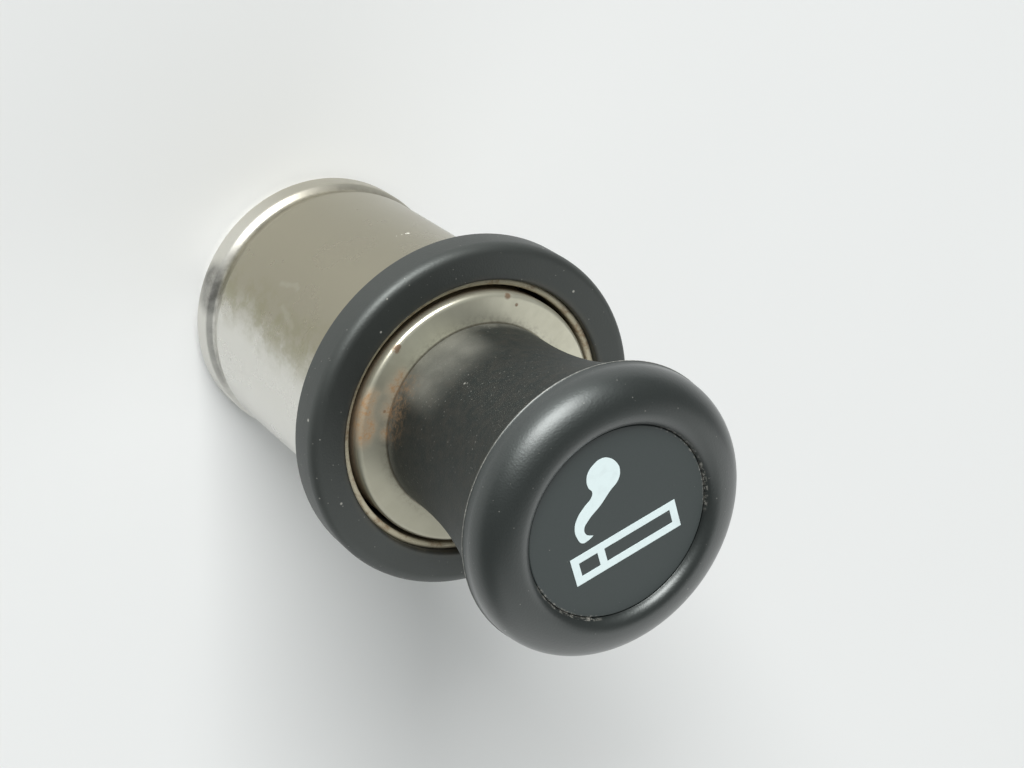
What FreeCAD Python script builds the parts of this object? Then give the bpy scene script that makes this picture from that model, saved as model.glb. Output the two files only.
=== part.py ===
import FreeCAD, Part
import math
import os

# Sleeve: drawn, nickel-plated shell that slides into the dashboard socket
barrel_diameter = 20.3
sleeve_wall = 0.5
rim_setback = 0.6
rim_rise = 0.7
bead_height = 0.2
bead_land = 1.56
bead_slope = 0.54
groove_depth = 0.25
groove_land = 0.4
groove_slope = 0.9
sleeve_bend = 0.4
lip_radius = 0.2

# Bezel ring: black moulded collar pressed on the front of the sleeve
bezel_width = 2.58
bezel_height = 2.7
bezel_proud = 0.57
bezel_outer_radius = 0.8
bezel_inner_radius = 0.25
bezel_rear_radius = 0.2

# Guide cup: nickel-plated plate behind the knob, running in the sleeve
guide_gap = 0.35
guide_wall = 0.5
guide_edge_radius = 0.4
guide_inner_radius = 0.1
guide_skirt = 5.0
plate_proud = 0.55

# Return spring
spring_wire = 0.8
spring_gap = 0.25
spring_turns = 5

# Spring seat: top-hat pressing that stands on the sleeve's rolled groove
seat_wall = 0.45
seat_bend = 0.6
seat_fit = 0.02
neck_gap = 0.2
stem_gap = 0.3

# Heater cup and the spiral ribbon in it
element_recess = 8.2
cup_gap = 0.5
cup_wall = 0.4
cup_depth = 3.4
cup_bend = 0.7
cup_lip = 0.3
ribbon_thickness = 0.32
ribbon_width = 2.4
ribbon_turns = 5
weld_gap = 0.02

# Insulators, washers and the terminal stacked on the stem's tail
mica_thickness = 0.3
mica_edge_gap = 0.3
outer_mica_diameter = 10.0
bush_diameter = 8.4
bush_thickness = 0.9
bush_neck_wall = 0.85
stop_diameter = 9.0
stop_thickness = 0.6
stop_gap = 0.05
terminal_wall = 0.6
stack_gap = 0.05

# Stem: turned from hexagon bar, screwed into the knob
stem_diameter = 4.6
tail_diameter = 2.8
rivet_head_height = 0.4
rivet_head_overlap = 0.35
thread_diameter = 4.0
thread_engagement = 6.5
thread_gap = 0.03
thread_chamfer = 0.4
collar_flats = 7.0
collar_height = 2.9
lock_washer_diameter = 6.8
lock_washer_thickness = 0.7
lock_washer_split = 0.6
press_travel = 8.0
press_margin = 0.1

# Knob: black moulding with a trumpet shank and a dished head
plate_land = 2.2
shank_straight = 1.85
flare_height = 13.35
flare_spread = 2.6
parting_overhang = 0.28
parting_rise = 0.3
parting_flash = 0.07
rim_shoulder = 0.59
side_radius = 2.04
brow_tilt = 52
brow_radius = 2.74
crest_tilt = 5
crest_radius = 0.8
dish_slope = 52
pocket_inset = 3.3

# Symbol disc set into the dish, and the brass insert moulded into the knob
disc_rise = 1.68
disc_thickness = 0.8
disc_gap = 0.05
insert_diameter = 7.0
insert_length = 8.0
insert_waist_depth = 0.6
insert_waist_length = 1.6

# Radii from the outside inwards
barrel_r = barrel_diameter / 2
sleeve_bore_r = barrel_r - sleeve_wall
guide_r = sleeve_bore_r - guide_gap
spring_r = guide_r - guide_wall - spring_gap - spring_wire / 2
neck_r = spring_r - spring_wire / 2 - neck_gap
cup_r = neck_r - seat_wall - cup_gap
cup_bore_r = cup_r - cup_wall
tail_r = tail_diameter / 2
stem_r = stem_diameter / 2
thread_r = thread_diameter / 2
tail_hole_r = tail_r + stack_gap
bush_neck_r = tail_hole_r + bush_neck_wall
terminal_r = tail_hole_r + terminal_wall
shank_r = guide_r - plate_land
flare_r = shank_r + flare_spread
parting_r = flare_r + parting_overhang
rim_r = parting_r - parting_flash
pocket_r = rim_r - pocket_inset
disc_r = pocket_r - disc_gap

# Heights from the sleeve's rear rim, with the knob released
bead_low = rim_rise
bead_high = bead_low + bead_land
groove_low = bead_high + bead_slope
groove_high = groove_low + groove_land
barrel_low = groove_high + groove_slope
cup_top = element_recess + cup_depth
mica_rest = cup_top - cup_wall
ribbon_rest = mica_rest - mica_thickness
bush_low = cup_top + mica_thickness
stop_low = bush_low + bush_thickness
stop_top = stop_low + stop_thickness
seat_floor = stop_top + stop_gap
seat_top = seat_floor + seat_wall
collar_low = seat_top + press_travel + press_margin
collar_top = collar_low + collar_height
guide_floor = collar_top + lock_washer_thickness
plate_face = guide_floor + guide_wall
sleeve_front = plate_face - plate_proud
flare_low = plate_face + shank_straight
flare_high = flare_low + flare_height
parting_height = flare_high + parting_rise
rim_low = parting_height + rim_shoulder
disc_face = rim_low + disc_rise


def at(radius, height):
    return FreeCAD.Vector(radius, 0, height)


def line(start, end):
    return Part.makeLine(at(*start), at(*end))


def rounded_outline(corners):
    # Closed outline through (radius, height, corner radius), each corner blended by an arc
    points = [at(radius, height) for radius, height, _ in corners]
    joins = []
    for index, (_, _, blend) in enumerate(corners):
        here = points[index]
        back = (points[index - 1] - here).normalize()
        ahead = (points[(index + 1) % len(points)] - here).normalize()
        if blend == 0:
            joins.append((here, None, here))
            continue
        half_angle = back.getAngle(ahead) / 2
        reach = blend / math.tan(half_angle)
        inset = blend / math.sin(half_angle) - blend
        inward = (back + ahead).normalize()
        joins.append((here + back * reach, here + inward * inset, here + ahead * reach))
    edges = []
    for index, (start, middle, end) in enumerate(joins):
        if middle is not None:
            edges.append(Part.Arc(start, middle, end).toShape())
        following = joins[(index + 1) % len(joins)][0]
        if (following - end).Length > 1e-6:
            edges.append(Part.makeLine(end, following))
    return Part.Wire(edges)


def spin(outline):
    return Part.Face(outline).revolve(FreeCAD.Vector(0, 0, 0), FreeCAD.Vector(0, 0, 1), 360)


def turned(corners):
    return spin(rounded_outline(corners))


def washer(outer_radius, hole_radius, low, thickness):
    outer = Part.makeCylinder(outer_radius, thickness, at(0, low))
    return outer.cut(Part.makeCylinder(hole_radius, thickness, at(0, low)))


def make_sleeve():
    bead_r = barrel_r + bead_height
    path = [
        (bead_r - rim_setback, 0, 0),
        (bead_r, bead_low, sleeve_bend),
        (bead_r, bead_high, sleeve_bend),
        (barrel_r - groove_depth, groove_low, sleeve_bend),
        (barrel_r - groove_depth, groove_high, sleeve_bend),
        (barrel_r, barrel_low, sleeve_bend),
        (barrel_r, sleeve_front, lip_radius),
    ]
    inside = [(radius - sleeve_wall, height, blend) for radius, height, blend in reversed(path)]
    return turned(path + inside)


def make_bezel_ring():
    front = sleeve_front + bezel_proud
    rear = front - bezel_height
    outer_r = barrel_r + bezel_width
    return turned([
        (barrel_r, rear, 0),
        (outer_r, rear, bezel_rear_radius),
        (outer_r, front, bezel_outer_radius),
        (barrel_r, front, bezel_inner_radius),
    ])


def make_spring_seat():
    flange_r = sleeve_bore_r - seat_fit
    flange_low = barrel_low
    flange_top = flange_low + seat_wall
    neck_bore_r = neck_r - seat_wall
    hole_r = stem_r + stem_gap
    return turned([
        (neck_bore_r, flange_low, seat_bend),
        (flange_r, flange_low, 0),
        (flange_r, flange_top, 0),
        (neck_r, flange_top, seat_bend / 2),
        (neck_r, seat_top, seat_bend),
        (hole_r, seat_top, 0),
        (hole_r, seat_floor, 0),
        (neck_bore_r, seat_floor, seat_bend / 2),
    ])


def make_return_spring():
    # Half-turns in planes tilted to and fro, with a flat half-turn at each end to sit on
    section = Part.makeCircle(spring_wire / 2, at(spring_r, 0), FreeCAD.Vector(0, 1, 0))
    wire_end = Part.Face(Part.Wire(section))
    height = barrel_low + seat_wall + spring_wire / 2
    climb = (guide_floor - spring_wire / 2 - height) / (2 * spring_turns)
    rises = [0] + [climb] * (2 * spring_turns) + [0]
    pieces = []
    for index, rise in enumerate(rises):
        side = -1 if index % 2 else 1
        end = wire_end.copy()
        end.translate(at(spring_r * (side - 1), height))
        tilt = FreeCAD.Vector(side * rise, 0, 2 * spring_r)
        pieces.append(end.revolve(at(0, height + rise / 2), tilt, 180))
        height += rise
    return pieces[0].multiFuse(pieces[1:]).removeSplitter()


def make_guide_cup():
    hole_r = thread_r + stack_gap
    bore_r = guide_r - guide_wall
    skirt_end = plate_face - guide_skirt
    return turned([
        (hole_r, guide_floor, 0),
        (bore_r, guide_floor, guide_inner_radius),
        (bore_r, skirt_end, 0),
        (guide_r, skirt_end, 0),
        (guide_r, plate_face, guide_edge_radius),
        (hole_r, plate_face, 0),
    ])


def domed(start, radius, first_tilt, last_tilt):
    # Arc of the head's outline between two tilts of its surface, and the point that it reaches
    def reached(tilt):
        first, last = math.radians(first_tilt), math.radians(tilt)
        across = radius * (math.sin(last) - math.sin(first))
        rise = radius * (math.cos(last) - math.cos(first))
        return (start[0] + across, start[1] + rise)

    end = reached(last_tilt)
    middle = reached((first_tilt + last_tilt) / 2)
    return Part.Arc(at(*start), at(*middle), at(*end)).toShape(), end


def make_knob(insert_envelope):
    arc_r = (flare_height ** 2 + flare_spread ** 2) / (2 * flare_spread)
    half_turn = math.asin(flare_height / arc_r) / 2
    flare_middle = (
        shank_r + arc_r * (1 - math.cos(half_turn)),
        flare_low + arc_r * math.sin(half_turn),
    )
    parting = (parting_r, parting_height)
    shoulder = (rim_r, rim_low)
    # The head rises in a round side and a flatter brow to a narrow crest, then slopes down to the disc
    side, brow_start = domed(shoulder, side_radius, 90, brow_tilt)
    brow, crest_start = domed(brow_start, brow_radius, brow_tilt, crest_tilt)
    crest, dish_start = domed(crest_start, crest_radius, crest_tilt, -dish_slope)
    pocket_floor = disc_face - disc_thickness
    edges = [
        line((0, plate_face), (shank_r, plate_face)),
        line((shank_r, plate_face), (shank_r, flare_low)),
        Part.Arc(at(shank_r, flare_low), at(*flare_middle), at(flare_r, flare_high)).toShape(),
        line((flare_r, flare_high), parting),
        line(parting, shoulder),
        side,
        brow,
        crest,
        line(dish_start, (pocket_r, disc_face)),
        line((pocket_r, disc_face), (pocket_r, pocket_floor)),
        line((pocket_r, pocket_floor), (0, pocket_floor)),
        line((0, pocket_floor), (0, plate_face)),
    ]
    return spin(Part.Wire(Part.__sortEdges__(edges))).cut(insert_envelope)


def make_symbol_disc():
    return Part.makeCylinder(disc_r, disc_thickness, at(0, disc_face - disc_thickness))


def make_insert(bore_r):
    outer_r = insert_diameter / 2
    waist_r = outer_r - insert_waist_depth
    top = plate_face + insert_length
    middle = plate_face + insert_length / 2
    waist_low = middle - insert_waist_length / 2
    waist_high = middle + insert_waist_length / 2
    return turned([
        (bore_r, plate_face, 0),
        (outer_r, plate_face, 0),
        (outer_r, waist_low - insert_waist_depth, 0),
        (waist_r, waist_low, 0),
        (waist_r, waist_high, 0),
        (outer_r, waist_high + insert_waist_depth, 0),
        (outer_r, top, 0),
        (bore_r, top, 0),
    ])


def make_stem():
    rivet_top = ribbon_rest - ribbon_width + rivet_head_height
    rivet_r = tail_r + rivet_head_overlap
    rivet_low = rivet_top - rivet_head_height
    thread_top = plate_face + thread_engagement
    spindle = turned([
        (0, rivet_low, 0),
        (rivet_r, rivet_low, rivet_head_height / 2),
        (rivet_r, rivet_top, 0),
        (tail_r, rivet_top, 0),
        (tail_r, stop_top, 0),
        (stem_r, stop_top, 0),
        (stem_r, collar_top, 0),
        (thread_r, collar_top, 0),
        (thread_r, thread_top - thread_chamfer, 0),
        (thread_r - thread_chamfer, thread_top, 0),
        (0, thread_top, 0),
    ])
    corner_r = collar_flats / 2 / math.cos(math.pi / 6)
    corners = []
    for side in range(7):
        angle = side * math.pi / 3
        corners.append(FreeCAD.Vector(corner_r * math.cos(angle), corner_r * math.sin(angle), collar_low))
    collar = Part.Face(Part.makePolygon(corners)).extrude(at(0, collar_height))
    return spindle.fuse(collar).removeSplitter()


def make_lock_washer():
    ring = washer(lock_washer_diameter / 2, thread_r + stack_gap, collar_top, lock_washer_thickness)
    split = Part.makeBox(
        lock_washer_diameter,
        lock_washer_split,
        lock_washer_thickness,
        FreeCAD.Vector(0, -lock_washer_split / 2, collar_top),
    )
    return ring.cut(split)


def make_stop_washer():
    return washer(stop_diameter / 2, tail_hole_r, stop_low, stop_thickness)


def make_ceramic_bush():
    outer_r = bush_diameter / 2
    return turned([
        (tail_hole_r, mica_rest, 0),
        (bush_neck_r, mica_rest, 0),
        (bush_neck_r, bush_low, 0),
        (outer_r, bush_low, 0),
        (outer_r, stop_low, 0),
        (tail_hole_r, stop_low, 0),
    ])


def make_outer_insulator():
    return washer(outer_mica_diameter / 2, bush_neck_r + stack_gap, cup_top, mica_thickness)


def make_inner_insulator():
    return washer(cup_bore_r - mica_edge_gap, tail_hole_r, ribbon_rest, mica_thickness)


def make_heater_cup():
    hole_r = bush_neck_r + stack_gap
    lip_r = cup_r + cup_lip
    lip_top = element_recess + cup_wall
    return turned([
        (hole_r, mica_rest, 0),
        (cup_bore_r, mica_rest, cup_bend - cup_wall),
        (cup_bore_r, element_recess, cup_wall / 2),
        (lip_r, element_recess, cup_wall / 2),
        (lip_r, lip_top, 0),
        (cup_r, lip_top, 0),
        (cup_r, cup_top, cup_bend),
        (hole_r, cup_top, 0),
    ])


def make_terminal():
    rivet_top = ribbon_rest - ribbon_width + rivet_head_height
    return washer(terminal_r, tail_hole_r, rivet_top, ribbon_rest - rivet_top)


def make_heating_coil():
    # Half-turns about two centres half a pitch apart make the spiral grow evenly
    half = ribbon_thickness / 2
    start_r = terminal_r + weld_gap + half
    end_r = cup_bore_r - weld_gap - half
    pitch = (end_r - start_r) / ribbon_turns
    low = ribbon_rest - ribbon_width
    inner_side = []
    outer_side = []
    for step in range(2 * ribbon_turns):
        middle_r = start_r + step * pitch / 2
        centre = FreeCAD.Vector(pitch / 2 if step % 2 else 0, 0, low)
        turn = 180 if step % 2 else 0
        for side, radius in ((inner_side, middle_r - half), (outer_side, middle_r + half)):
            circle = Part.Circle(centre, FreeCAD.Vector(0, 0, 1), radius)
            side.append(Part.ArcOfCircle(circle, math.radians(turn), math.radians(turn + 180)).toShape())
    inner_end = Part.makeLine(at(start_r - half, low), at(start_r + half, low))
    outer_end = Part.makeLine(at(end_r - half, low), at(end_r + half, low))
    outline = Part.Wire(Part.__sortEdges__(inner_side + [outer_end] + outer_side + [inner_end]))
    return Part.Face(outline).extrude(at(0, ribbon_width))


parts = {
    "sleeve": make_sleeve(),
    "bezel_ring": make_bezel_ring(),
    "spring_seat": make_spring_seat(),
    "return_spring": make_return_spring(),
    "guide_cup": make_guide_cup(),
    "knob": make_knob(make_insert(0)),
    "symbol_disc": make_symbol_disc(),
    "threaded_insert": make_insert(thread_r + thread_gap),
    "stem": make_stem(),
    "lock_washer": make_lock_washer(),
    "stop_washer": make_stop_washer(),
    "ceramic_bush": make_ceramic_bush(),
    "outer_insulator": make_outer_insulator(),
    "inner_insulator": make_inner_insulator(),
    "heater_cup": make_heater_cup(),
    "terminal": make_terminal(),
    "heating_coil": make_heating_coil(),
}

os.makedirs("parts", exist_ok=True)
for name, shape in parts.items():
    shape.exportStep("parts/" + name + ".step")
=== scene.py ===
import math

import bpy
from mathutils import Matrix, Vector


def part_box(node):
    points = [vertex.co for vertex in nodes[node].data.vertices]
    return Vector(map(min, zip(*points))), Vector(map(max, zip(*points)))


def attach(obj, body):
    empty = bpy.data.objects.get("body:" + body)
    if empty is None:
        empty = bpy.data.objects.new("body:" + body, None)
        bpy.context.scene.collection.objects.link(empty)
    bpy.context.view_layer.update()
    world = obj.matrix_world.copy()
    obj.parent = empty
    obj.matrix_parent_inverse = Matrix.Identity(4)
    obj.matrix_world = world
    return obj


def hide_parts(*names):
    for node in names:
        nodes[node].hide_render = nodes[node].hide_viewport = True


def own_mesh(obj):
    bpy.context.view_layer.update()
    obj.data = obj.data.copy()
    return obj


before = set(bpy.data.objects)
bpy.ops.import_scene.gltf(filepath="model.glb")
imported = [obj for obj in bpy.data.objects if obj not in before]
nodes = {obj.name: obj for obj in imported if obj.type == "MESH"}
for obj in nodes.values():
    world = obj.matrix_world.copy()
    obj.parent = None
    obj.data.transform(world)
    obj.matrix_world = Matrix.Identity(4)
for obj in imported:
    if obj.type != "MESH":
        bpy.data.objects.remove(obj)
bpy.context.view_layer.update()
mm = 0.001
print("frame loaded with", len(nodes), "CAD nodes")


def reach(node):
    # outer radius, low end and high end of a CAD node, in millimetres
    low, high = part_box(node)
    return high.x / mm, low.z / mm, high.z / mm


# shader wiring
class Feed:
    def __init__(self, tree, socket=None):
        self.tree = tree
        self.socket = socket

    def node(self, kind, settings=None, sockets=None, output=0):
        made = self.tree.nodes.new("ShaderNode" + kind)
        for name, value in (settings or {}).items():
            setattr(made, name, value)
        for name, value in (sockets or {}).items():
            if isinstance(value, Feed):
                self.tree.links.new(value.socket, made.inputs[name])
            else:
                made.inputs[name].default_value = value
        return Feed(self.tree, made.outputs[output])

    def other(self, output):
        # another output of the same node
        return Feed(self.tree, self.socket.node.outputs[output])

    def calc(self, operation, *values):
        return self.node("Math", {"operation": operation}, dict(enumerate(values)))

    def __add__(self, other):
        return self.calc("ADD", self, other)

    __radd__ = __add__

    def __sub__(self, other):
        return self.calc("SUBTRACT", self, other)

    def __rsub__(self, other):
        return self.calc("SUBTRACT", other, self)

    def __mul__(self, other):
        return self.calc("MULTIPLY", self, other)

    __rmul__ = __mul__

    def __truediv__(self, other):
        return self.calc("DIVIDE", self, other)

    def __abs__(self):
        return self.calc("ABSOLUTE", self)

    def __pow__(self, other):
        return self.calc("POWER", self, other)

    def ramp(self, low, high):
        # smooth 0..1 between two values; high may be below low
        return self.node("MapRange", {"interpolation_type": "SMOOTHSTEP"},
                         {"Value": self, "From Min": low, "From Max": high})

    def lift(self, low, high=1.0):
        # 0..1 to low..high
        return low + self * (high - low)

    def mix(self, first, second):
        # colour: first where this value is 0, second where it is 1
        colours = [c if isinstance(c, Feed) else (*c, 1) for c in (first, second)]
        return self.node("Mix", {"data_type": "RGBA"}, {0: self, 6: colours[0], 7: colours[1]}, 2)


def over(colour, *coats):
    # a colour with each (amount, colour) laid over it in turn
    for amount, tone in coats:
        colour = amount.mix(colour, tone)
    return colour


class Surface:
    # a new material with its Object coordinates in millimetres
    def __init__(self, name):
        self.material = bpy.data.materials.new(name)
        self.material.use_nodes = True
        self.tree = self.material.node_tree
        self.shader = self.tree.nodes["Principled BSDF"]
        self.feed = Feed(self.tree)
        coords = self.feed.node("TexCoord", output="Object")
        self.point = self.feed.node("VectorMath", {"operation": "SCALE"}, {0: coords, "Scale": 1 / mm})
        self.x = self.feed.node("SeparateXYZ", {}, {0: self.point})
        self.y, self.z = self.x.other("Y"), self.x.other("Z")
        self.radius = (self.x * self.x + self.y * self.y) ** 0.5

    def vector(self, operation, first, second, output="Vector"):
        return self.feed.node("VectorMath", {"operation": operation}, {0: first, 1: second}, output)

    def noise(self, scale, detail, roughness=0.55, stretch=(1.0, 1.0, 1.0), around=False):
        # around: the same along each line away from the axis
        vector = self.vector("MULTIPLY", self.point, stretch)
        if around:
            vector = self.feed.node("VectorMath", {"operation": "NORMALIZE"}, {0: vector})
        return self.feed.node("TexNoise", {}, {
            "Vector": vector, "Scale": scale, "Detail": detail, "Roughness": roughness})

    def specks(self, scale, size, share, smallest=0.3):
        # small round grains, down to a part of the full size, in a share of the cells
        cell = self.feed.node("TexVoronoi", {}, {"Vector": self.point, "Scale": scale})
        pick = self.feed.node("SeparateXYZ", {}, {0: cell.other("Color")})
        grain = cell / pick.other("Y").lift(smallest)
        return grain.ramp(size * scale, size * scale * 0.5) * pick.ramp(1 - share, 1 - share * 0.95)

    def dust(self, rows):
        # grains of several kinds: cells in a millimetre, size, share of the cells and weight
        return sum((self.specks(*row[:3]) * row[3] for row in rows), 0.0)

    def spots(self, places, full=0.0):
        # 1 at each (x, y, z, size) place up to that part of its size, falling to 0 at its size
        total = 0.0
        for *place, size in places:
            away = self.vector("DISTANCE", self.point, place, "Value")
            total = away.ramp(size, size * full) + total
        return total.calc("MINIMUM", total, 1.0)

    def streaks(self, lines):
        # 1 along the middle of each (start, end, width) line, falling to 0 at its sides
        total = 0.0
        for start, end, width in lines:
            run = Vector(end) - Vector(start)
            offset = self.vector("SUBTRACT", self.point, start)
            part = self.vector("DOT_PRODUCT", offset, run / run.length_squared, "Value")
            part = self.feed.node("MapRange", {}, {"Value": part})
            nearest = self.feed.node("VectorMath", {"operation": "SCALE"}, {0: run, "Scale": part})
            total = self.vector("DISTANCE", offset, nearest, "Value").ramp(width, 0.0) + total
        return total.calc("MINIMUM", total, 1.0)

    def level(self, height, ends):
        # 0 at the first and 1 at the second of two distances from a height
        return self.z.ramp(height + ends[0], height + ends[1])

    def facing(self, degrees):
        # 1 on the side of a turned piece at that angle round the axis, -1 opposite
        turn = math.radians(degrees)
        return (self.x * math.cos(turn) + self.y * math.sin(turn)) / self.radius

    def stretches(self, sides, fade=0.6):
        # 1 on the (degrees, least facing) stretches round the axis, fading in over part of each
        return sum((self.facing(turn).ramp(least, least + (1 - least) * fade)
                    for turn, least in sides), 0.0)

    def set(self, **values):
        for name, value in values.items():
            socket = self.shader.inputs[name.replace("_", " ")]
            if isinstance(value, Feed):
                self.tree.links.new(value.socket, socket)
            else:
                socket.default_value = (*value, 1) if isinstance(value, tuple) else value
        return self.material

    def bump(self, height, depth, strength):
        return self.feed.node("Bump", {}, {
            "Strength": strength, "Distance": depth * mm, "Height": height})


# turned pieces
def softOutline(corners, steps):
    # (radius, height, blend) corners to stations, each blend an arc of a few steps
    stations = []
    for index, (radius, height, blend) in enumerate(corners):
        here = Vector((radius, height))
        if not blend:
            stations.append((radius, height))
            continue
        back = (Vector(corners[index - 1][:2]) - here).normalized()
        ahead = (Vector(corners[(index + 1) % len(corners)][:2]) - here).normalized()
        half = back.angle(ahead) / 2
        centre = here + (back + ahead).normalized() * (blend / math.sin(half))
        start = here + back * (blend / math.tan(half)) - centre
        turn = start.angle_signed(here + ahead * (blend / math.tan(half)) - centre)
        for step in range(steps + 1):
            part = start.copy()
            part.rotate(Matrix.Rotation(-turn * step / steps, 2))
            stations.append(tuple(centre + part))
    return stations


def closeMesh(gap=1e-7):
    # joins the points that meet, turns the faces outward and leaves edit mode
    bpy.ops.mesh.select_all(action="SELECT")
    bpy.ops.mesh.remove_doubles(threshold=gap)
    bpy.ops.mesh.normals_make_consistent(inside=False)
    bpy.ops.object.mode_set(mode="OBJECT")


def turnPiece(name, stations, sides):
    # a ring extruded from station to station, as on a lathe
    # a closed outline repeats its first station
    bpy.ops.object.select_all(action="DESELECT")
    fromPole = stations[0][0] == 0
    rings = stations[1:] if fromPole else stations
    radius, height = rings[0]
    bpy.ops.mesh.primitive_circle_add(
        vertices=sides, radius=radius * mm, location=(0, 0, height * mm),
        fill_type="TRIFAN" if fromPole else "NOTHING")
    piece = bpy.context.object
    piece.name = name
    bpy.ops.object.mode_set(mode="EDIT")
    bpy.ops.mesh.select_all(action="SELECT")
    if fromPole:
        bpy.ops.mesh.region_to_loop()
    for nextRadius, nextHeight in rings[1:]:
        bpy.ops.mesh.extrude_edges_move(
            TRANSFORM_OT_translate={"value": (0, 0, (nextHeight - height) * mm)})
        if nextRadius == 0:
            bpy.ops.mesh.merge(type="CENTER")
            break
        scale = nextRadius / radius
        bpy.ops.transform.resize(value=(scale, scale, 1), center_override=(0, 0, nextHeight * mm))
        radius, height = nextRadius, nextHeight
    closeMesh(2e-7)
    settle(piece, 30)
    return piece


def settle(piece, smooth):
    # the piece's place goes into its mesh, and its shading is smoothed up to an angle
    bpy.ops.object.select_all(action="DESELECT")
    bpy.context.view_layer.objects.active = piece
    piece.select_set(True)
    bpy.ops.object.transform_apply(location=True, rotation=True, scale=True)
    bpy.ops.object.shade_smooth_by_angle(angle=math.radians(smooth))


def dress(piece, body, slot, material, *replaced):
    piece.data.materials.clear()
    piece.data.materials.append(material)
    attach(piece, body)
    if replaced:
        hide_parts(*replaced)


# finishes: a reach is two distances, where something begins and where it is full
# stretches of the disc's edge that hold dust: middle in degrees round the axis, and least facing
dustyStretches = ((14, 0.76), (215, 0.86))
knobLook = {
    "black": (0.0060, 0.0075, 0.0071), "tint": (0.88, 1.0, 0.96), "grime": (0.0165, 0.0145, 0.0118),
    "haze": (0.155, 0.152, 0.130), "brown": (0.19, 0.115, 0.06), "dust": (0.30, 0.295, 0.265),
    "flash": (0.33, 0.32, 0.285),
    "roughness": 0.42, "shankRoughness": 0.50, "flashRoughness": 0.3, "specular": 0.6,
    "coat": 1.0, "coatRoughness": 0.37, "grainScale": 6.5, "grainDepth": 0.028,
    "specks": ((2.6, 0.06, 0.35, 0.4), (0.9, 0.10, 0.25, 0.7)), "shankSpecks": ((3.4, 0.07, 0.7, 0.5),),
    "shankReach": (-0.3, -0.8), "flashReach": (0.055, 0.02), "flashWeight": 0.75,
    "seamReach": (0.14, 0.05), "seamDepth": (-0.4, -0.1), "seamWeight": 0.9,
    # painted sheen on the key lamp's side and a patchy lighter band just above the shank's foot, brown
    # dust above the foot, and the sides of the sheen and the dust in degrees round the axis
    "sheenReach": (6.0, 1.2), "cornerReach": (1.3, 0.1), "sheenSide": 108,
    "brownReach": (2.6, 0.2), "brownWeight": 0.85, "brownSide": 142,
    # pale flecks on the shank: place and size
    "flecks": ((-2.40, 6.83, 31.98, 0.16), (-2.30, 6.90, 32.20, 0.12), (-2.52, 6.72, 31.75, 0.09)),
}


def knobFinish(partingHeight, seamRadius, faceHeight, baseHeight, f):
    s = Surface("black satin moulding")
    grain = s.noise(f["grainScale"], 2.0)
    cloud = s.noise(0.35, 4.0)
    patch = s.noise(1.3, 6.0, 0.7)
    fine = s.noise(3.2, 5.0, 0.75)
    shank = s.level(partingHeight, f["shankReach"])
    dust = s.dust(f["specks"]) + s.dust(f["shankSpecks"]) * shank * cloud.ramp(0.44, 0.60)
    flash = abs(s.z - partingHeight).ramp(*f["flashReach"]) * fine.ramp(0.48, 0.60).lift(0.35)
    seam = abs(s.radius - seamRadius).ramp(*f["seamReach"]) * s.level(faceHeight, f["seamDepth"])
    seam = seam * s.stretches(dustyStretches) * s.noise(3.6, 5.0, 0.75).ramp(0.47, 0.60)
    # painted sheen: lighter above the shank's foot on the key lamp's side; the corner adds a patchy
    # lighter band just above the foot all round
    haze = s.level(baseHeight, f["sheenReach"]) * s.facing(f["sheenSide"]).ramp(0.84, 0.98)
    haze = haze * cloud.ramp(0.3, 0.7).lift(0.55)
    corner = s.level(baseHeight, f["cornerReach"]) * patch.ramp(0.35, 0.65).lift(0.3, 0.7)
    haze = haze.calc("MAXIMUM", haze, corner)
    brown = s.level(baseHeight, f["brownReach"]) * s.facing(f["brownSide"]).ramp(0.90, 0.99)
    brown = brown * fine.ramp(0.42, 0.64)
    colour = (shank * patch.ramp(0.35, 0.7)).mix(f["black"], f["grime"])
    colour = over(colour, (haze, f["haze"]), (brown * f["brownWeight"], f["brown"]), (dust, f["dust"]),
                  (s.spots(f["flecks"], 0.4), f["dust"]), (seam * f["seamWeight"], f["flash"]),
                  (flash * f["flashWeight"], f["flash"]))
    dull = shank * patch.lift(0.75, 1.25) * (f["shankRoughness"] - f["roughness"])
    rough = f["roughness"] + cloud * 0.06 + dull + flash * f["flashRoughness"]
    return s.set(Base_Color=colour, Roughness=rough,
                 Specular_IOR_Level=f["specular"], Specular_Tint=f["tint"],
                 Coat_Weight=(1.0 - shank) * f["coat"], Coat_Roughness=f["coatRoughness"],
                 Normal=s.bump(grain + cloud, f["grainDepth"], 0.7))


ringLook = {
    "black": (0.0158, 0.0172, 0.0160), "tint": (0.93, 1.0, 0.96), "dust": (0.40, 0.39, 0.35),
    "grime": (0.055, 0.043, 0.026), "roughness": 0.44, "specular": 0.9,
    "grainScale": 6.5, "grainDepth": 0.018, "lipWidth": 0.6, "lipWeight": 0.5, "dustWeight": 0.8,
    "specks": ((2.4, 0.06, 0.5, 0.5), (0.9, 0.12, 0.35, 0.9), (0.45, 0.20, 0.2, 1.0)),
}


def ringFinish(boreRadius, f):
    s = Surface("black ring moulding")
    grain = s.noise(f["grainScale"], 2.0)
    cloud = s.noise(0.5, 4.0)
    lip = s.radius.ramp(boreRadius + f["lipWidth"], boreRadius) * cloud.ramp(0.35, 0.65)
    colour = (lip * f["lipWeight"]).mix(f["black"], f["grime"])
    colour = (s.dust(f["specks"]) * f["dustWeight"]).mix(colour, f["dust"])
    return s.set(Base_Color=colour, Roughness=f["roughness"] + cloud * 0.10,
                 Specular_IOR_Level=f["specular"], Specular_Tint=f["tint"],
                 Normal=s.bump(grain, f["grainDepth"], 0.7))


discLook = {
    "grey": (0.033, 0.042, 0.041), "grain": (0.045, 0.056, 0.055), "dust": (0.32, 0.31, 0.28),
    "roughness": 0.50, "grainScale": 11.0, "grainDepth": 0.006,
    "specks": ((2.2, 0.045, 0.25, 0.6), (0.9, 0.07, 0.15, 0.7)),
    "edgeReach": (-0.16, -0.04), "edgeWeight": 0.85,
}


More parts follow.
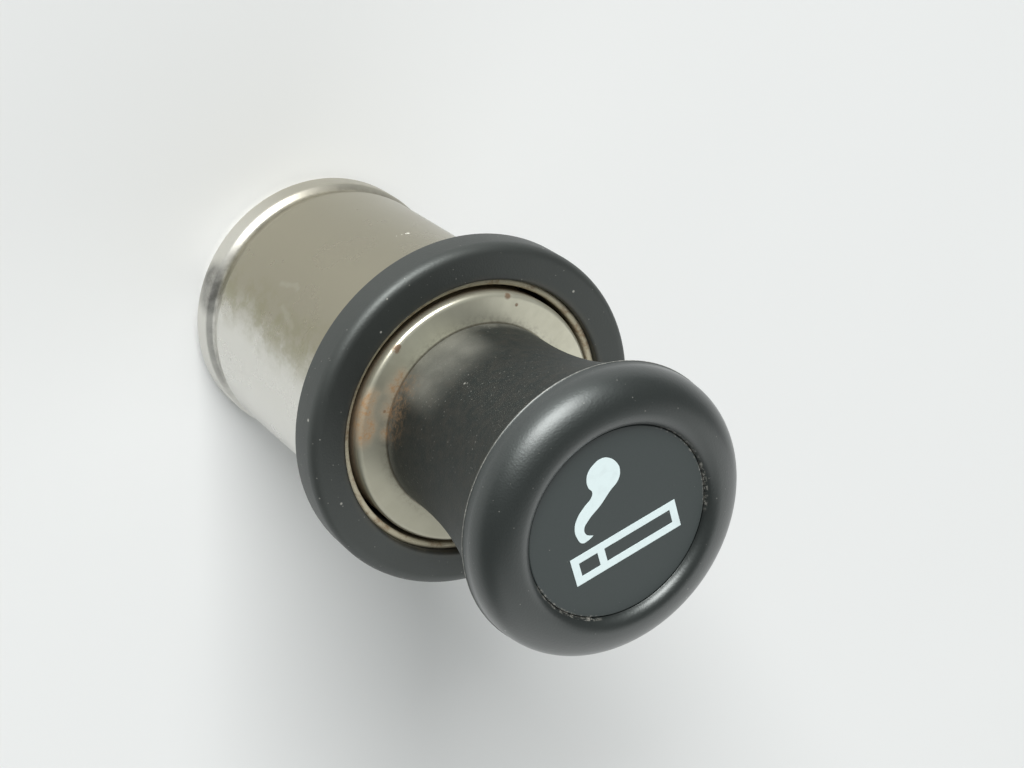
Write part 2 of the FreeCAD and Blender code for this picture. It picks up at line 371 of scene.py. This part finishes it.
def discFinish(edgeRadius, f):
    s = Surface("matt disc")
    grain = s.noise(f["grainScale"], 2.0)
    cloud = s.noise(0.4, 3.0)
    edge = s.radius.ramp(*(edgeRadius + part for part in f["edgeReach"])) * s.stretches(dustyStretches)
    edge = edge * s.noise(3.6, 5.0, 0.75).ramp(0.49, 0.60)
    colour = (grain * 0.6 + cloud * 0.4).mix(f["grey"], f["grain"])
    colour = over(colour, (s.dust(f["specks"]), f["dust"]), (edge * f["edgeWeight"], f["dust"]))
    return s.set(Base_Color=colour, Roughness=f["roughness"] + cloud * 0.1,
                 Normal=s.bump(grain, f["grainDepth"], 0.4))


signLook = {"white": (0.72, 0.835, 0.84), "worn": (0.68, 0.785, 0.79), "roughness": 0.45}


def signFinish(f):
    s = Surface("pale print")
    cloud = s.noise(1.6, 5.0)
    colour = cloud.ramp(0.45, 0.75).mix(f["white"], f["worn"])
    return s.set(Base_Color=colour, Roughness=f["roughness"] + cloud * 0.12)


shellLook = {
    "haze": (0.340, 0.316, 0.242), "cleanAndReflection": (0.68, 0.67, 0.625), "green": (0.29, 0.275, 0.175),
    "sootAndShade": (0.085, 0.082, 0.076), "lip": (0.50, 0.46, 0.34), "rust": (0.22, 0.13, 0.06),
    "speck": (0.80, 0.80, 0.70), "roughness": 0.20, "metallic": 0.9,
    # middle of the barrel's painted floor reflection and of the bead's painted sheen, in degrees round
    # the axis
    "reflectionSide": 192, "beadSheenSide": 160,
    "beadReach": (1.7, 0.9), "grooveReach": (0.9, 0.1), "darkReflectionReach": (0.2, -0.5),
    "dullReach": (1.4, 0.6), "lipReach": (-0.6, -0.3), "throatReach": (-3.0, -1.0),
    # parts of the wall's thickness
    "wallReach": (0.55, 0.95),
    "greenWeight": 0.6, "grooveShadeWeight": 0.4, "rustWeight": 0.7,
    # faint scratches: start, end and width
    "scratchWeight": 0.14,
    "scratches": (((-5.19, 8.72, 13.3), (-5.05, 8.80, 12.8), 0.35),
                  ((-5.05, 8.80, 12.8), (-5.35, 8.62, 11.9), 0.30),
                  ((-5.35, 8.62, 11.9), (-5.50, 8.53, 11.0), 0.35),
                  ((-7.13, 7.23, 15.2), (-6.80, 7.53, 13.9), 0.50),
                  ((-6.80, 7.53, 13.9), (-6.55, 7.75, 12.8), 0.35)),
    # painted dark reflection patch on the bead and pale marks on the barrel: place and size
    "patch": ((-8.26, 6.23, 2.0, 2.7), (-7.60, 7.05, 2.0, 1.6), (-8.75, 5.50, 2.1, 1.6)),
    "marks": ((3.59, 9.49, 14.83, 0.17), (3.40, 9.56, 14.86, 0.10), (3.05, 9.68, 14.92, 0.07),
              (2.60, 9.81, 14.99, 0.06)),
}


def shellFinish(barrelRadius, wall, front, grooveHeight, beadHeight, f):
    s = Surface("hazy nickel shell")
    cloud = s.noise(0.16, 5.0, 0.6)
    smudge = s.noise(0.55, 6.0, 0.7)
    streak = s.noise(1.2, 5.0, 0.7, (1.0, 1.0, 0.2))
    # painted reflection: the barrel's nickel is brighter on one side, as a reflection of the floor, and
    # darker haze elsewhere, with a wavy edge
    side = s.facing(f["reflectionSide"]) + (cloud - 0.5) * 0.16 + (streak - 0.5) * 0.09
    bead = s.level(beadHeight, f["beadReach"])
    # bead brighter towards one side: rubbed-clean nickel, and painted sheen
    beadPolishAndSheen = bead * s.facing(f["beadSheenSide"]).ramp(0.2, 0.9).lift(0.3, 0.85)
    # greenish tarnish smudges laid along the edge of the painted reflection
    reflectionEdge = abs(side - 0.58).ramp(0.26, 0.02) * smudge.ramp(0.40, 0.62) * (1.0 - bead)
    scratch = s.streaks(f["scratches"]) * smudge.lift(0.2, 1.2)
    # painted shade in the groove
    grooveShade = abs(s.z - grooveHeight).ramp(*f["grooveReach"]) * smudge.ramp(0.35, 0.65)
    # painted dark reflection on the bead
    patch = s.spots(f["patch"]) * s.level(grooveHeight, f["darkReflectionReach"])
    patch = patch * smudge.ramp(0.3, 0.7).lift(0.35, 0.75)
    inside = s.radius.ramp(*(barrelRadius - wall * part for part in f["wallReach"]))
    throat = inside * s.level(front, f["throatReach"])
    lip = s.level(front, f["lipReach"])
    rust = lip * s.noise(1.2, 4.0, 0.7).ramp(0.46, 0.70)
    mark = s.spots(f["marks"], 0.3)
    # painted reflection: haze on the darker side, bright nickel on the reflection side; the bright
    # colour also fills the scratches
    colour = side.ramp(0.52, 0.80).mix(f["haze"], f["cleanAndReflection"])
    colour = over(colour, (beadPolishAndSheen, f["cleanAndReflection"]), (reflectionEdge * f["greenWeight"], f["green"]),
                  (scratch * f["scratchWeight"], f["cleanAndReflection"]), (grooveShade * f["grooveShadeWeight"], f["sootAndShade"]),
                  (patch, f["sootAndShade"]), (inside * smudge.lift(0.2, 0.7), f["sootAndShade"]), (throat, f["lip"]),
                  (lip, f["lip"]), (rust * f["rustWeight"], f["rust"]), (mark, f["speck"]))
    rough = f["roughness"] + cloud * 0.16 + inside * 0.15 + lip * 0.25
    rough = rough + s.level(grooveHeight, f["dullReach"]) * 0.12
    return s.set(Base_Color=colour, Metallic=f["metallic"] - mark * 0.8 - lip * 0.5, Roughness=rough)


plateLook = {
    "nickel": (0.62, 0.605, 0.49), "haze": (0.52, 0.505, 0.40), "sideShade": (0.30, 0.29, 0.225),
    "rust": (0.33, 0.165, 0.055), "brown": (0.17, 0.10, 0.055), "grime": (0.075, 0.062, 0.043),
    "wall": (0.22, 0.16, 0.10), "roughness": 0.25, "metallic": 0.72,
    # middle of the side with painted shade, in degrees round the axis
    "shadeSide": 215, "shadeWeight": 0.75,
    "seamReach": (0.14, 0.04), "footReach": (1.0, 0.0), "wallReach": (-0.35, -0.8),
    "seamWeight": 0.6, "footWeight": 0.35, "wallWeight": 0.85, "rustWeight": 0.85, "spotWeight": 0.9,
    # rust stains and small spots: place from the axis, and size
    "stains": ((-7.95, 4.39, 1.5), (-7.50, 5.25, 1.2), (-6.75, 5.75, 1.0), (-8.40, 3.20, 1.2),
               (-7.80, 3.60, 1.2), (-4.31, 6.14, 0.8), (-5.10, 5.45, 1.1), (-5.90, 4.10, 1.2),
               (-6.60, 2.60, 0.9)),
    "spots": ((-4.07, 8.08, 0.42), (-3.85, 8.20, 0.25), (4.84, 7.70, 0.36), (5.26, 6.73, 0.18),
              (-6.27, 4.24, 0.16)),
}


def plateFinish(face, shankRadius, f):
    s = Surface("rust-stained nickel plate")
    cloud = s.noise(0.30, 5.0, 0.6)
    fine = s.noise(2.6, 6.0, 0.75)
    rubbed = s.noise(14.0, 3.0, 0.6, (1.0, 1.0, 0.0), True)
    stain = s.spots([(x, y, face, size) for x, y, size in f["stains"]])
    stain = stain * fine.ramp(0.45, 0.66).lift(0.5)
    spot = s.spots([(x, y, face, size) for x, y, size in f["spots"]], 0.4) * fine.ramp(0.30, 0.50)
    seam = s.radius.ramp(*(shankRadius + part for part in f["seamReach"]))
    # a darker, patchy band round the shank's foot
    foot = s.radius.ramp(*(shankRadius + part for part in f["footReach"])) * fine.ramp(0.40, 0.70)
    wall = s.level(face, f["wallReach"])
    # painted shade: the plate's nickel darker towards one side
    sideShade = s.facing(f["shadeSide"]).ramp(0.1, 1.0)
    colour = (cloud.ramp(0.35, 0.70) * 0.8 + rubbed.ramp(0.35, 0.70) * 0.2).mix(f["nickel"], f["haze"])
    colour = over(colour, (sideShade * f["shadeWeight"], f["sideShade"]), (foot * f["footWeight"], f["grime"]),
                  (seam * f["seamWeight"], f["grime"]), (wall * f["wallWeight"], f["wall"]),
                  (stain * f["rustWeight"], f["rust"]), (spot * f["spotWeight"], f["brown"]))
    rough = f["roughness"] + cloud * 0.12 + rubbed * 0.04 + stain * 0.35
    return s.set(Base_Color=colour, Metallic=f["metallic"] - stain * 0.5 - spot * 0.4 - wall * 0.5,
                 Roughness=rough, Normal=s.bump(fine * 0.4 + stain, 0.010, 0.3))


def cloudedFinish(name, light, dark, roughness, metallic=1.0):
    s = Surface(name)
    cloud = s.noise(0.5, 5.0, 0.6)
    fine = s.noise(3.0, 4.0, 0.7)
    colour = (cloud.ramp(0.35, 0.70) * 0.5 + fine * 0.2).mix(light, dark)
    return s.set(Base_Color=colour, Metallic=metallic, Roughness=roughness + cloud * 0.12,
                 Normal=s.bump(fine, 0.004, 0.3))


cupLook = {
    "steel": (0.40, 0.37, 0.33), "straw": (0.33, 0.22, 0.11), "blue": (0.10, 0.12, 0.18),
    "roughness": 0.30,
}


def cupFinish(rim, floor, f):
    s = Surface("heat-tinted cup")
    cloud = s.noise(0.6, 5.0, 0.6)
    heat = s.z.ramp(rim, floor) + (cloud - 0.5) * 0.5
    colour = heat.ramp(0.0, 0.55).mix(f["steel"], f["straw"])
    colour = heat.ramp(0.5, 1.0).mix(colour, f["blue"])
    return s.set(Base_Color=colour, Metallic=1.0, Roughness=f["roughness"] + cloud * 0.2)


coilLook = {
    "oxide": (0.13, 0.115, 0.105), "bare": (0.26, 0.235, 0.21), "ash": (0.42, 0.41, 0.39),
    "edgeWidth": 0.25, "ashWeight": 0.7, "roughness": 0.48, "metallic": 0.75,
}


def coilFinish(face, f):
    s = Surface("oxidised ribbon")
    cloud = s.noise(0.9, 5.0, 0.65)
    fine = s.noise(5.0, 4.0, 0.7)
    edge = s.z.ramp(face + f["edgeWidth"], face)
    ash = edge * cloud.ramp(0.52, 0.70)
    colour = (edge * 0.6 + fine * 0.3).mix(f["oxide"], f["bare"])
    colour = (ash * f["ashWeight"]).mix(colour, f["ash"])
    return s.set(Base_Color=colour, Metallic=f["metallic"] - ash * 0.6,
                 Roughness=f["roughness"] + cloud * 0.2, Normal=s.bump(fine, 0.008, 0.4))


# knob
knobForm = {
    "sides": 192, "shankRadius": 7.1, "shankStraight": 1.85, "footRound": 0.12,
    "flareRadius": 9.7, "flareHeight": 13.35, "flareSteps": 24,
    "flashHeight": 0.3, "flashDrop": 0.59, "rimRadius": 9.91, "pocketRadius": 6.61,
    # the flash line's small raised edge: distance from the full radius, and height
    "flashEdge": ((-0.03, -0.06), (0, -0.02), (0, 0.02), (-0.03, 0.05)),
    # the point above it: distance from the rim's radius, and height
    "flashEase": (0.005, 0.12),
    # arcs over the head: radius, the tilt of the surface where each ends, and steps
    "headArcs": ((2.04, 52, 14), (2.74, 5, 22), (0.914, -71.2, 22)),
}
knobRadius, knobLow, knobHigh = reach("knob")
discRadius, discLow, discHigh = reach("symbol_disc")
insertRadius, _, insertHigh = reach("threaded_insert")


def knobStations(f):
    flareLow = knobLow + f["shankStraight"]
    flareHigh = flareLow + f["flareHeight"]
    spread = f["flareRadius"] - f["shankRadius"]
    arcRadius = (f["flareHeight"] ** 2 + spread ** 2) / (2 * spread)
    shank, foot = f["shankRadius"], f["footRound"]
    stations = [(0, insertHigh), (insertRadius, insertHigh), (insertRadius, knobLow),
                (shank - foot, knobLow), (shank - foot * 0.3, knobLow + foot * 0.3),
                (shank, knobLow + foot), (shank, flareLow)]
    for step in range(1, f["flareSteps"] + 1):
        rise = f["flareHeight"] * step / f["flareSteps"]
        stations.append((shank + arcRadius - math.sqrt(arcRadius ** 2 - rise ** 2), flareLow + rise))
    # the two halves of the mould met at the flash line
    flash = flareHigh + f["flashHeight"]
    stations += [(knobRadius + out, flash + up) for out, up in f["flashEdge"]]
    stations.append((f["rimRadius"] + f["flashEase"][0], flash + f["flashEase"][1]))
    stations.append((f["rimRadius"], flash + f["flashDrop"]))
    tilt = math.pi / 2
    for arcRadius, endTilt, steps in f["headArcs"]:
        (startRadius, startHeight), endTilt = stations[-1], math.radians(endTilt)
        for step in range(1, steps + 1):
            turn = tilt + (endTilt - tilt) * step / steps
            stations.append((startRadius + arcRadius * (math.sin(turn) - math.sin(tilt)),
                             startHeight + arcRadius * (math.cos(turn) - math.cos(tilt))))
        tilt = endTilt
    stations += [(f["pocketRadius"], discHigh), (f["pocketRadius"], discLow), (0, discLow)]
    return stations, flash


knobOutline, flashHeight = knobStations(knobForm)
knobPiece = turnPiece("knob_moulding", knobOutline, knobForm["sides"])
dress(knobPiece, "plunger", "knob_black",
      knobFinish(flashHeight, knobForm["pocketRadius"], discHigh, knobLow, knobLook), "knob")
print("knob turned")

# disc and its sign
discForm = {"bevel": 0.05, "sides": 160}
discPiece = turnPiece("symbol_disc_inlay", [
    (0, discLow), (discRadius, discLow), (discRadius, discHigh - discForm["bevel"]),
    (discRadius - discForm["bevel"], discHigh), (0, discHigh)], discForm["sides"])
dress(discPiece, "plunger", "disc_grey", discFinish(discRadius, discLook), "symbol_disc")

signForm = {
    "left": -3.92, "right": 4.20, "low": -2.75, "high": -0.68, "line": 0.53, "filter": -1.97,
    "thickness": 0.03, "smokeSteps": 12,
    # smoke outline: x, y and whether the corner is sharp
    "smoke": ((-0.05, 5.00, False), (0.45, 4.82, False), (0.96, 4.13, False), (1.03, 3.52, False),
              (0.74, 2.94, False), (0.02, 2.52, False), (-0.88, 1.92, False), (-1.95, 1.37, False),
              (-2.40, 0.93, False), (-2.34, 0.46, False), (-1.92, 0.13, True), (-2.32, 0.01, False),
              (-2.78, 0.05, False), (-3.01, 0.54, False), (-3.02, 1.26, False), (-2.63, 1.93, False),
              (-1.99, 2.40, False), (-1.34, 2.77, False), (-1.19, 3.10, False), (-1.36, 3.54, False),
              (-1.35, 4.09, False), (-1.08, 4.58, False), (-0.53, 4.91, False)),
}


def makeCigarette(f):
    bpy.ops.object.select_all(action="DESELECT")
    middle = ((f["left"] + f["right"]) / 2 * mm, (f["low"] + f["high"]) / 2 * mm, discHigh * mm)
    bpy.ops.mesh.primitive_plane_add(size=1, location=middle)
    piece = bpy.context.object
    piece.scale = ((f["right"] - f["left"]) * mm, (f["high"] - f["low"]) * mm, 1)
    bpy.ops.object.transform_apply(location=True, rotation=True, scale=True)
    bpy.ops.object.mode_set(mode="EDIT")
    across = (f["left"] + f["line"], f["filter"], f["filter"] + f["line"], f["right"] - f["line"])
    up = (f["low"] + f["line"], f["high"] - f["line"])
    for x in across:
        bpy.ops.mesh.select_all(action="SELECT")
        bpy.ops.mesh.bisect(plane_co=(x * mm, 0, 0), plane_no=(1, 0, 0))
    for y in up:
        bpy.ops.mesh.select_all(action="SELECT")
        bpy.ops.mesh.bisect(plane_co=(0, y * mm, 0), plane_no=(0, 1, 0))
    bpy.ops.mesh.select_mode(type="FACE")
    bpy.ops.mesh.select_all(action="DESELECT")
    bpy.ops.object.mode_set(mode="OBJECT")
    for face in piece.data.polygons:
        x, y = face.center.x / mm, face.center.y / mm
        inBox = across[0] < x < across[1] or across[2] < x < across[3]
        face.select = inBox and up[0] < y < up[1]
    bpy.ops.object.mode_set(mode="EDIT")
    bpy.ops.mesh.delete(type="FACE")
    bpy.ops.mesh.select_all(action="SELECT")
    bpy.ops.mesh.extrude_region_move(TRANSFORM_OT_translate={"value": (0, 0, f["thickness"] * mm)})
    closeMesh()
    return piece


def makeSmoke(f):
    bpy.ops.object.select_all(action="DESELECT")
    bpy.ops.curve.primitive_bezier_circle_add(radius=mm)
    curve = bpy.context.object
    spline = curve.data.splines[0]
    spline.bezier_points.add(len(f["smoke"]) - len(spline.bezier_points))
    for point, (x, y, sharp) in zip(spline.bezier_points, f["smoke"]):
        point.co = (x * mm, y * mm, 0)
        point.handle_left_type = point.handle_right_type = "VECTOR" if sharp else "AUTO"
    curve.data.dimensions = "2D"
    curve.data.fill_mode = "BOTH"
    curve.data.resolution_u = f["smokeSteps"]
    curve.data.extrude = f["thickness"] / 2 * mm
    curve.location.z = (discHigh + f["thickness"] / 2) * mm
    bpy.ops.object.convert(target="MESH")
    piece = bpy.context.object
    bpy.ops.object.transform_apply(location=True, rotation=True, scale=True)
    bpy.ops.object.mode_set(mode="EDIT")
    closeMesh()
    return piece


cigarette = makeCigarette(signForm)
smoke = makeSmoke(signForm)
bpy.ops.object.select_all(action="DESELECT")
smoke.select_set(True)
cigarette.select_set(True)
bpy.context.view_layer.objects.active = cigarette
bpy.ops.object.join()
cigarette.name = "pictogram_print"
settle(cigarette, 20)
dress(cigarette, "plunger", "disc_grey", signFinish(signLook))
print("disc and sign made")

# guide cup
guideForm = {
    "wall": 0.5, "edge": 0.4, "innerEdge": 0.1, "rimRound": 0.1, "hole": 2.05,
    "blendSteps": 14, "sides": 192,
}
guideRadius, guideLow, guideHigh = reach("guide_cup")


def guideStations(f):
    bore = guideRadius - f["wall"]
    floor = guideHigh - f["wall"]
    stations = softOutline([
        (f["hole"], floor, 0), (bore, floor, f["innerEdge"]), (bore, guideLow, f["rimRound"]),
        (guideRadius, guideLow, f["rimRound"]), (guideRadius, guideHigh, f["edge"]),
        (f["hole"], guideHigh, 0)], f["blendSteps"])
    return stations + stations[:1]


guidePiece = turnPiece("guide_cup_plate", guideStations(guideForm), guideForm["sides"])
dress(guidePiece, "plunger", "nickel_plate",
      plateFinish(guideHigh, knobForm["shankRadius"], plateLook), "guide_cup")
print("guide cup turned")

# bezel ring; the sleeve's values come first, since the ring's bore is its barrel
ringForm = {"outerRound": 0.8, "innerRound": 0.25, "rearRound": 0.2, "blendSteps": 10, "sides": 192}
ringRadius, ringLow, ringHigh = reach("bezel_ring")
shellForm = {
    "wall": 0.5, "rimSetback": 0.6, "rimRise": 0.7, "beadHeight": 0.2, "beadLand": 1.56,
    "beadSlope": 0.54, "grooveDepth": 0.25, "grooveLand": 0.4, "grooveSlope": 0.9, "bend": 0.4,
    "lip": 0.2, "blendSteps": 8, "sides": 192,
}
shellRadius, shellLow, shellHigh = reach("sleeve")
barrelRadius = shellRadius - shellForm["beadHeight"]


def ringStations(f):
    stations = softOutline([
        (barrelRadius, ringLow, 0), (ringRadius, ringLow, f["rearRound"]),
        (ringRadius, ringHigh, f["outerRound"]), (barrelRadius, ringHigh, f["innerRound"])],
        f["blendSteps"])
    return stations + stations[:1]


ringPiece = turnPiece("bezel_ring_moulding", ringStations(ringForm), ringForm["sides"])
dress(ringPiece, "sleeve_body", "bezel_black", ringFinish(barrelRadius, ringLook), "bezel_ring")
print("bezel ring turned")


# sleeve
def shellStations(f):
    beadLow = shellLow + f["rimRise"]
    beadHigh = beadLow + f["beadLand"]
    grooveLow = beadHigh + f["beadSlope"]
    grooveHigh = grooveLow + f["grooveLand"]
    barrelLow = grooveHigh + f["grooveSlope"]
    grooveRadius = barrelRadius - f["grooveDepth"]
    path = [
        (shellRadius - f["rimSetback"], shellLow, 0), (shellRadius, beadLow, f["bend"]),
        (shellRadius, beadHigh, f["bend"]), (grooveRadius, grooveLow, f["bend"]),
        (grooveRadius, grooveHigh, f["bend"]), (barrelRadius, barrelLow, f["bend"]),
        (barrelRadius, shellHigh, f["lip"])]
    inside = [(radius - f["wall"], height, blend) for radius, height, blend in reversed(path)]
    stations = softOutline(path + inside, f["blendSteps"])
    return stations + stations[:1], (grooveLow + grooveHigh) / 2, (beadLow + beadHigh) / 2


shellOutline, grooveHeight, beadMiddle = shellStations(shellForm)
shellPiece = turnPiece("sleeve_shell", shellOutline, shellForm["sides"])
shellCoat = shellFinish(barrelRadius, shellForm["wall"], shellHigh, grooveHeight, beadMiddle, shellLook)
dress(shellPiece, "sleeve_body", "nickel_shell", shellCoat, "sleeve")
print("sleeve turned")

# spring seat
seatForm = {"wall": 0.45, "bend": 0.6, "neckRadius": 7.55, "hole": 2.6, "blendSteps": 7, "sides": 144}
seatRadius, seatLow, seatHigh = reach("spring_seat")


def seatStations(f):
    bore = f["neckRadius"] - f["wall"]
    stations = softOutline([
        (bore, seatLow, f["bend"]), (seatRadius, seatLow, 0), (seatRadius, seatLow + f["wall"], 0),
        (f["neckRadius"], seatLow + f["wall"], f["bend"] / 2), (f["neckRadius"], seatHigh, f["bend"]),
        (f["hole"], seatHigh, 0), (f["hole"], seatHigh - f["wall"], 0),
        (bore, seatHigh - f["wall"], f["bend"] / 2)], f["blendSteps"])
    return stations + stations[:1]


seatPiece = turnPiece("spring_seat_pressing", seatStations(seatForm), seatForm["sides"])
dress(seatPiece, "sleeve_body", "pressed_steel",
      cloudedFinish("pressed steel", (0.50, 0.48, 0.43), (0.30, 0.27, 0.22), 0.30), "spring_seat")
print("spring seat turned")

# heater cup and coil
cupForm = {"wall": 0.4, "bend": 0.7, "lip": 0.3, "hole": 2.35, "blendSteps": 7, "sides": 144}
cupRadius, cupLow, cupHigh = reach("heater_cup")


def cupStations(f):
    wallRadius = cupRadius - f["lip"]
    bore = wallRadius - f["wall"]
    floor = cupHigh - f["wall"]
    stations = softOutline([
        (f["hole"], floor, 0), (bore, floor, f["bend"] - f["wall"]), (bore, cupLow, f["wall"] / 2),
        (cupRadius, cupLow, f["wall"] / 2), (cupRadius, cupLow + f["wall"], 0),
        (wallRadius, cupLow + f["wall"], 0), (wallRadius, cupHigh, f["bend"]), (f["hole"], cupHigh, 0)],
        f["blendSteps"])
    return stations + stations[:1]


cupPiece = turnPiece("heater_cup_pressing", cupStations(cupForm), cupForm["sides"])
dress(cupPiece, "plunger", "cup_steel", cupFinish(cupLow, cupHigh, cupLook), "heater_cup")

coilForm = {
    "startRadius": 2.23, "endRadius": 6.02, "turns": 5, "thickness": 0.32, "edge": 0.05, "halfSteps": 40,
}
coilLow, coilHigh = reach("heating_coil")[1:]


def makeCoil(f):
    # the ribbon's section is spun by half-turns about two centres half a pitch apart
    pitch = (f["endRadius"] - f["startRadius"]) / f["turns"]
    bpy.ops.object.select_all(action="DESELECT")
    bpy.ops.mesh.primitive_plane_add(
        size=1, location=(f["startRadius"] * mm, 0, (coilLow + coilHigh) / 2 * mm),
        rotation=(math.pi / 2, 0, 0))
    piece = bpy.context.object
    piece.name = "heating_coil_ribbon"
    piece.scale = (f["thickness"] * mm, (coilHigh - coilLow) * mm, 1)
    bpy.ops.object.transform_apply(location=True, rotation=True, scale=True)
    bpy.ops.object.mode_set(mode="EDIT")
    bpy.ops.mesh.select_all(action="SELECT")
    bpy.ops.mesh.bevel(offset=f["edge"] * mm, segments=2, affect="VERTICES")
    bpy.ops.mesh.select_all(action="SELECT")
    for half in range(2 * f["turns"]):
        centre = pitch / 2 * mm if half % 2 else 0
        bpy.ops.mesh.spin(steps=f["halfSteps"], angle=math.pi, center=(centre, 0, 0), axis=(0, 0, 1))
    closeMesh()
    settle(piece, 40)
    return piece


coilPiece = makeCoil(coilForm)
dress(coilPiece, "plunger", "coil_alloy", coilFinish(coilLow, coilLook), "heating_coil")
print("heater cup and coil made")

# return spring
springForm = {"wire": 0.8, "meanRadius": 8.15, "turns": 5, "sides": 14, "halfSteps": 20, "travel": 8.0}
springLow, springHigh = reach("return_spring")[1:]


def makeSpring(f):
    # flat half-turns at both ends, climbing turns between them
    bpy.ops.object.select_all(action="DESELECT")
    low, high = springLow + f["wire"] / 2, springHigh - f["wire"] / 2
    bpy.ops.mesh.primitive_circle_add(
        vertices=f["sides"], radius=f["wire"] / 2 * mm, location=(f["meanRadius"] * mm, 0, low * mm),
        rotation=(math.pi / 2, 0, 0), fill_type="NGON")
    piece = bpy.context.object
    piece.name = "return_spring_wire"
    bpy.ops.object.mode_set(mode="EDIT")
    bpy.ops.mesh.select_all(action="SELECT")
    climb = (high - low) / (2 * f["turns"])
    height = low
    for half, rise in enumerate([0] + [climb] * (2 * f["turns"]) + [0]):
        lean = (-rise if half % 2 else rise) / (2 * f["meanRadius"])
        bpy.ops.mesh.spin(steps=f["halfSteps"], angle=math.pi, center=(0, 0, (height + rise / 2) * mm),
                          axis=Vector((lean, 0, 1)).normalized())
        height += rise
    closeMesh()
    settle(piece, 40)
    return piece


springPiece = makeSpring(springForm)
dress(springPiece, "sleeve_body", "spring_steel",
      cloudedFinish("spring wire", (0.36, 0.35, 0.34), (0.22, 0.20, 0.18), 0.28), "return_spring")
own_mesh(springPiece)
print("return spring wound")

# inner CAD pieces
innerLooks = {
    "stem": cloudedFinish("turned steel", (0.55, 0.54, 0.52), (0.36, 0.34, 0.31), 0.26),
    "terminal": cloudedFinish("terminal steel", (0.30, 0.28, 0.26), (0.18, 0.16, 0.15), 0.42),
    "lock_washer": cloudedFinish("zinc washer", (0.52, 0.51, 0.48), (0.36, 0.34, 0.30), 0.30),
    "stop_washer": cloudedFinish("stop washer steel", (0.50, 0.49, 0.46), (0.32, 0.29, 0.25), 0.32),
    "threaded_insert": cloudedFinish("machined brass", (0.70, 0.52, 0.22), (0.48, 0.32, 0.12), 0.26),
    "ceramic_bush": cloudedFinish("unglazed ceramic", (0.80, 0.77, 0.70), (0.62, 0.58, 0.50), 0.60, 0.0),
    "outer_insulator": cloudedFinish("mica washer", (0.56, 0.48, 0.34), (0.36, 0.29, 0.19), 0.30, 0.0),
    "inner_insulator": cloudedFinish("scorched mica", (0.42, 0.37, 0.29), (0.16, 0.13, 0.10), 0.40, 0.0),
}
for name, look in innerLooks.items():
    nodes[name].data.materials.clear()
    nodes[name].data.materials.append(look)
print("inner pieces dressed")

# floor, light and camera
stageForm = {
    "floorSize": 3.0, "floorColour": (0.80, 0.81, 0.805), "floorShade": 0.97, "floorRoughness": 0.6,
    "world": (0.94, 1.0, 0.985), "worldStrength": 0.22,
    # soft lamps: way from the object, distance, width, height and power
    "lamps": {
        "key": ((-0.02, 0.89, 0.45), 5.5, 3.6, 2.7, 480),
        "fill": ((0.15, -0.88, 0.45), 5.5, 13.0, 8.0, 280),
    },
    "aim": (0, 0, 0.025),
}


def makeStage(f):
    bpy.ops.object.select_all(action="DESELECT")
    bpy.ops.mesh.primitive_plane_add(size=f["floorSize"])
    floor = bpy.context.object
    floor.name = "floor"
    s = Surface("pale floor")
    shade = tuple(part * f["floorShade"] for part in f["floorColour"])
    tone = s.noise(0.02, 2.0).mix(f["floorColour"], shade)
    floor.data.materials.append(s.set(Base_Color=tone, Roughness=f["floorRoughness"]))
    world = bpy.data.worlds.new("studio")
    world.use_nodes = True
    background = world.node_tree.nodes["Background"]
    background.inputs["Color"].default_value = (*f["world"], 1)
    background.inputs["Strength"].default_value = f["worldStrength"]
    bpy.context.scene.world = world
    for name, (way, distance, width, height, power) in f["lamps"].items():
        away = Vector(way).normalized()
        bpy.ops.object.light_add(type="AREA", location=Vector(f["aim"]) + away * distance)
        lamp = bpy.context.object
        lamp.name = name
        lamp.data.shape = "RECTANGLE"
        lamp.data.size = width
        lamp.data.size_y = height
        lamp.data.energy = power
        lamp.visible_camera = False
        lamp.rotation_euler = away.to_track_quat("Z", "Y").to_euler()


makeStage(stageForm)

cameraForm = {
    # place in millimetres, and the picture's right and up ways
    "eye": (-43.33, 73.95, 135.87), "right": (0.8253, -0.2415, 0.5104), "up": (0.4557, 0.8188, -0.3493),
    "lens": 70.3125, "sensor": 36.0, "near": 0.001,
}


def makeCamera(f):
    data = bpy.data.cameras.new("camera")
    data.lens = f["lens"]
    data.sensor_width = f["sensor"]
    data.sensor_fit = "HORIZONTAL"
    data.clip_start = f["near"]
    camera = bpy.data.objects.new("camera", data)
    bpy.context.scene.collection.objects.link(camera)
    right, up = Vector(f["right"]).normalized(), Vector(f["up"]).normalized()
    turn = Matrix((right, up, right.cross(up))).transposed().to_4x4()
    camera.matrix_world = Matrix.Translation(Vector(f["eye"]) * mm) @ turn
    bpy.context.scene.camera = camera


makeCamera(cameraForm)
bpy.context.scene.view_settings.view_transform = "Standard"
print("stage lit and camera set")
